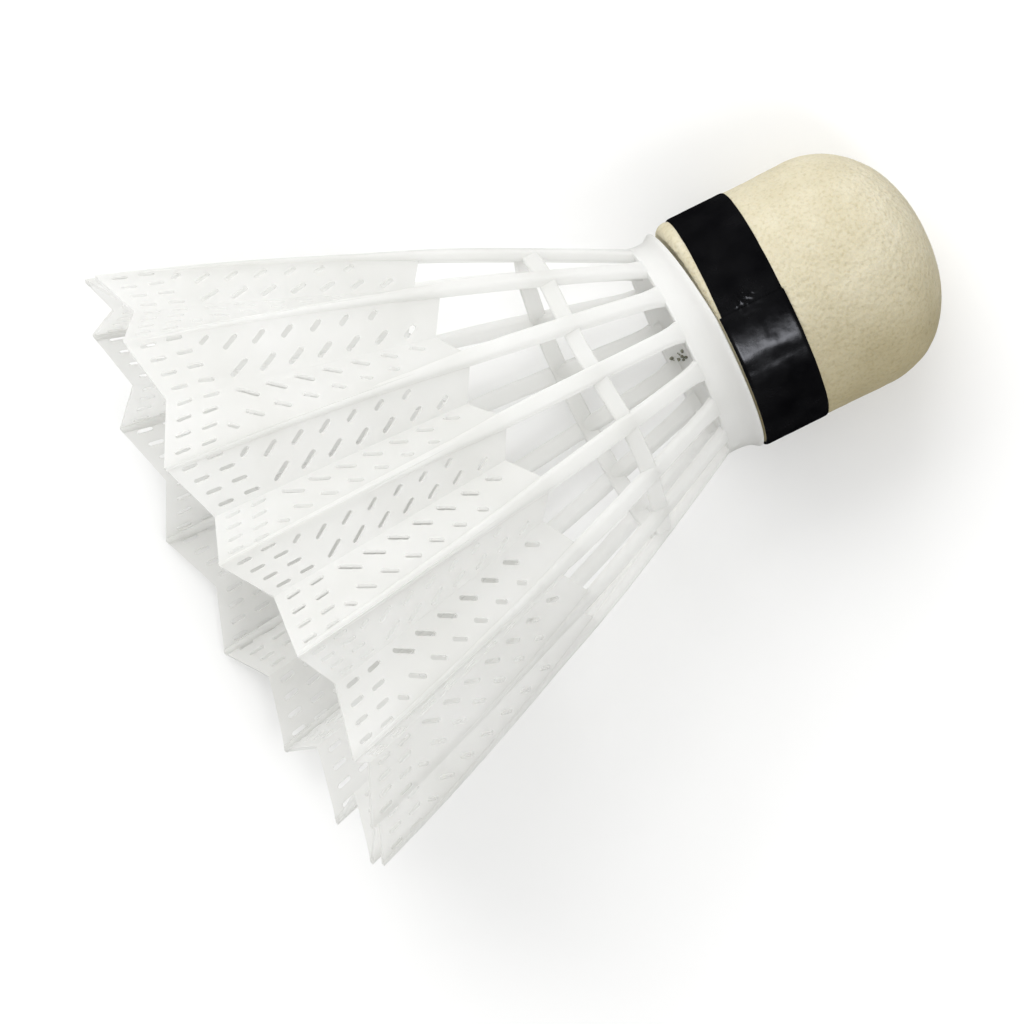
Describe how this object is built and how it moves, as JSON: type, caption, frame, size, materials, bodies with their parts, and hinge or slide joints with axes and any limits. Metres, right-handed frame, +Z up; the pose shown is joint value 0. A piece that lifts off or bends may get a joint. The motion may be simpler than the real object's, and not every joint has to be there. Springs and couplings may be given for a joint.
{
  "type": "badminton shuttlecock",
  "caption": "Badminton shuttlecock with a foam head, a black tape band and a moulded plastic skirt with open windows and a pleated vane, lying on its side.",
  "frame": {"origin": "on the floor, under the middle of the shuttlecock's bounding box as it lies on its side", "axes": "+Z up; +X from the head towards the skirt's mouth, level with the floor (the shuttle's own axis rises 11.4 degrees from it towards the mouth); +Y to the side"},
  "size_m": [0.0882, 0.0694, 0.0594],
  "materials": {
    "head_foam": "matte",
    "tape_vinyl": "gloss",
    "slug_steel": "satin",
    "skirt_plastic": "satin"
  },
  "bodies": {
    "root": {"head": "head_foam", "tape_band": "tape_vinyl", "weight_slug": "slug_steel", "skirt": "skirt_plastic"}
  },
  "joints": []
}
